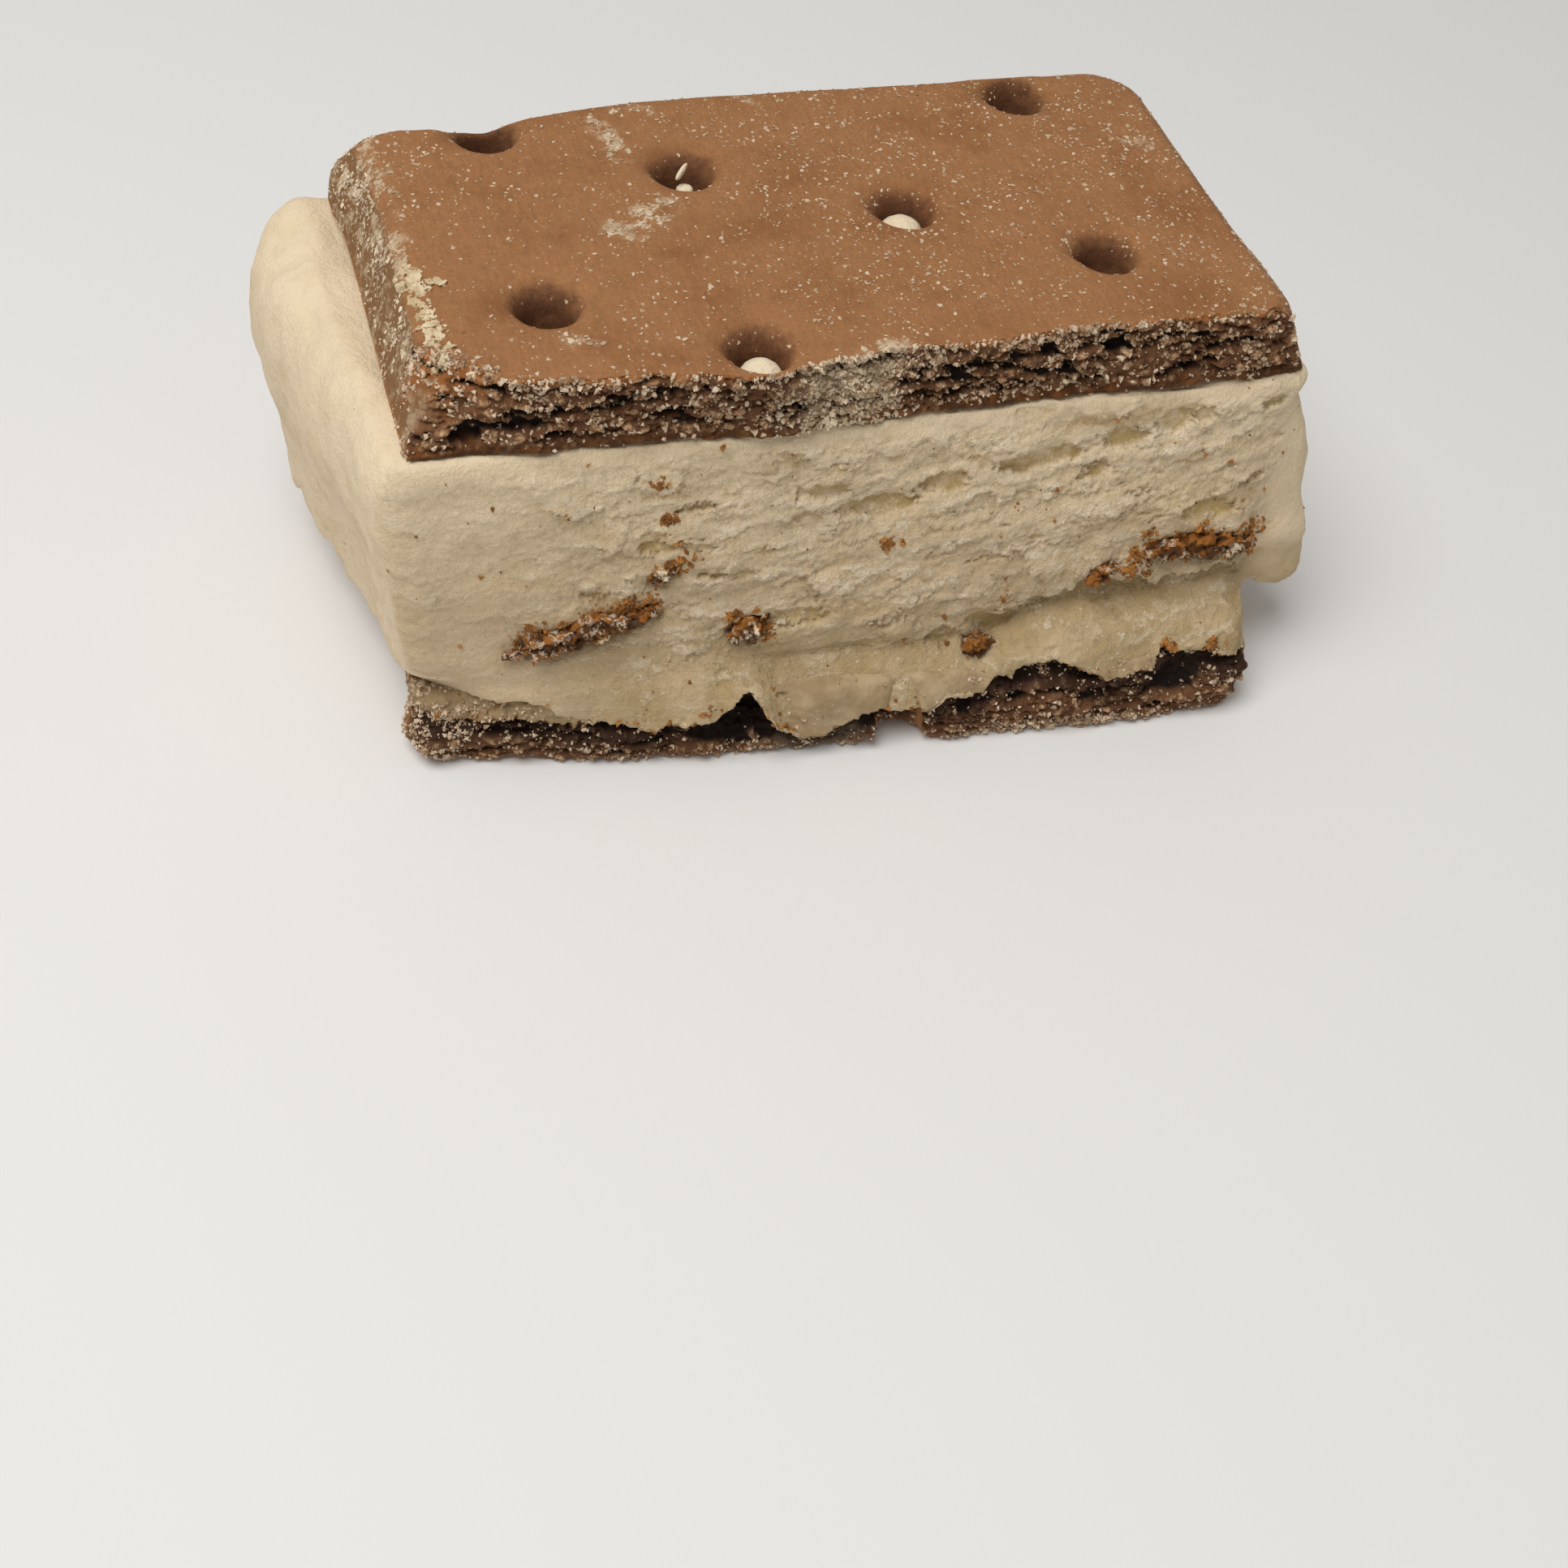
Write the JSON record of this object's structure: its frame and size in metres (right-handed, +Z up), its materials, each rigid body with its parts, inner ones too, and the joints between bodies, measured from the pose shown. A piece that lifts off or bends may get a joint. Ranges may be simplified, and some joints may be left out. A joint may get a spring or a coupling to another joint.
{
  "type": "ice cream sandwich",
  "caption": "Half an ice cream sandwich: a thick vanilla layer with cookie pieces between pricked chocolate wafers, moulded at the back and sides and broken open at the front.",
  "frame": {"origin": "middle of the top wafer's plan, on the flat face that the half rests on", "axes": "+Z up, +Y from the broken front to the moulded back, +X to the right seen from the broken front"},
  "size_m": [0.0603, 0.0326, 0.0265],
  "materials": {
    "wafer": "matt soft chocolate wafer with frost grains, dark and crumbly where broken",
    "ice_cream": "matt vanilla ice cream, smooth at the moulded sides and ragged where broken",
    "cookie": "dry crumbly cookie pieces with frost"
  },
  "bodies": {
    "root": {"top_wafer": "wafer", "ice_cream": "ice_cream", "bottom_wafer": "wafer", "cookie_long_left": "cookie", "cookie_crumb_left": "cookie", "cookie_middle": "cookie", "cookie_long_right": "cookie", "cookie_short_right": "cookie", "cookie_low_right": "cookie"}
  },
  "joints": []
}
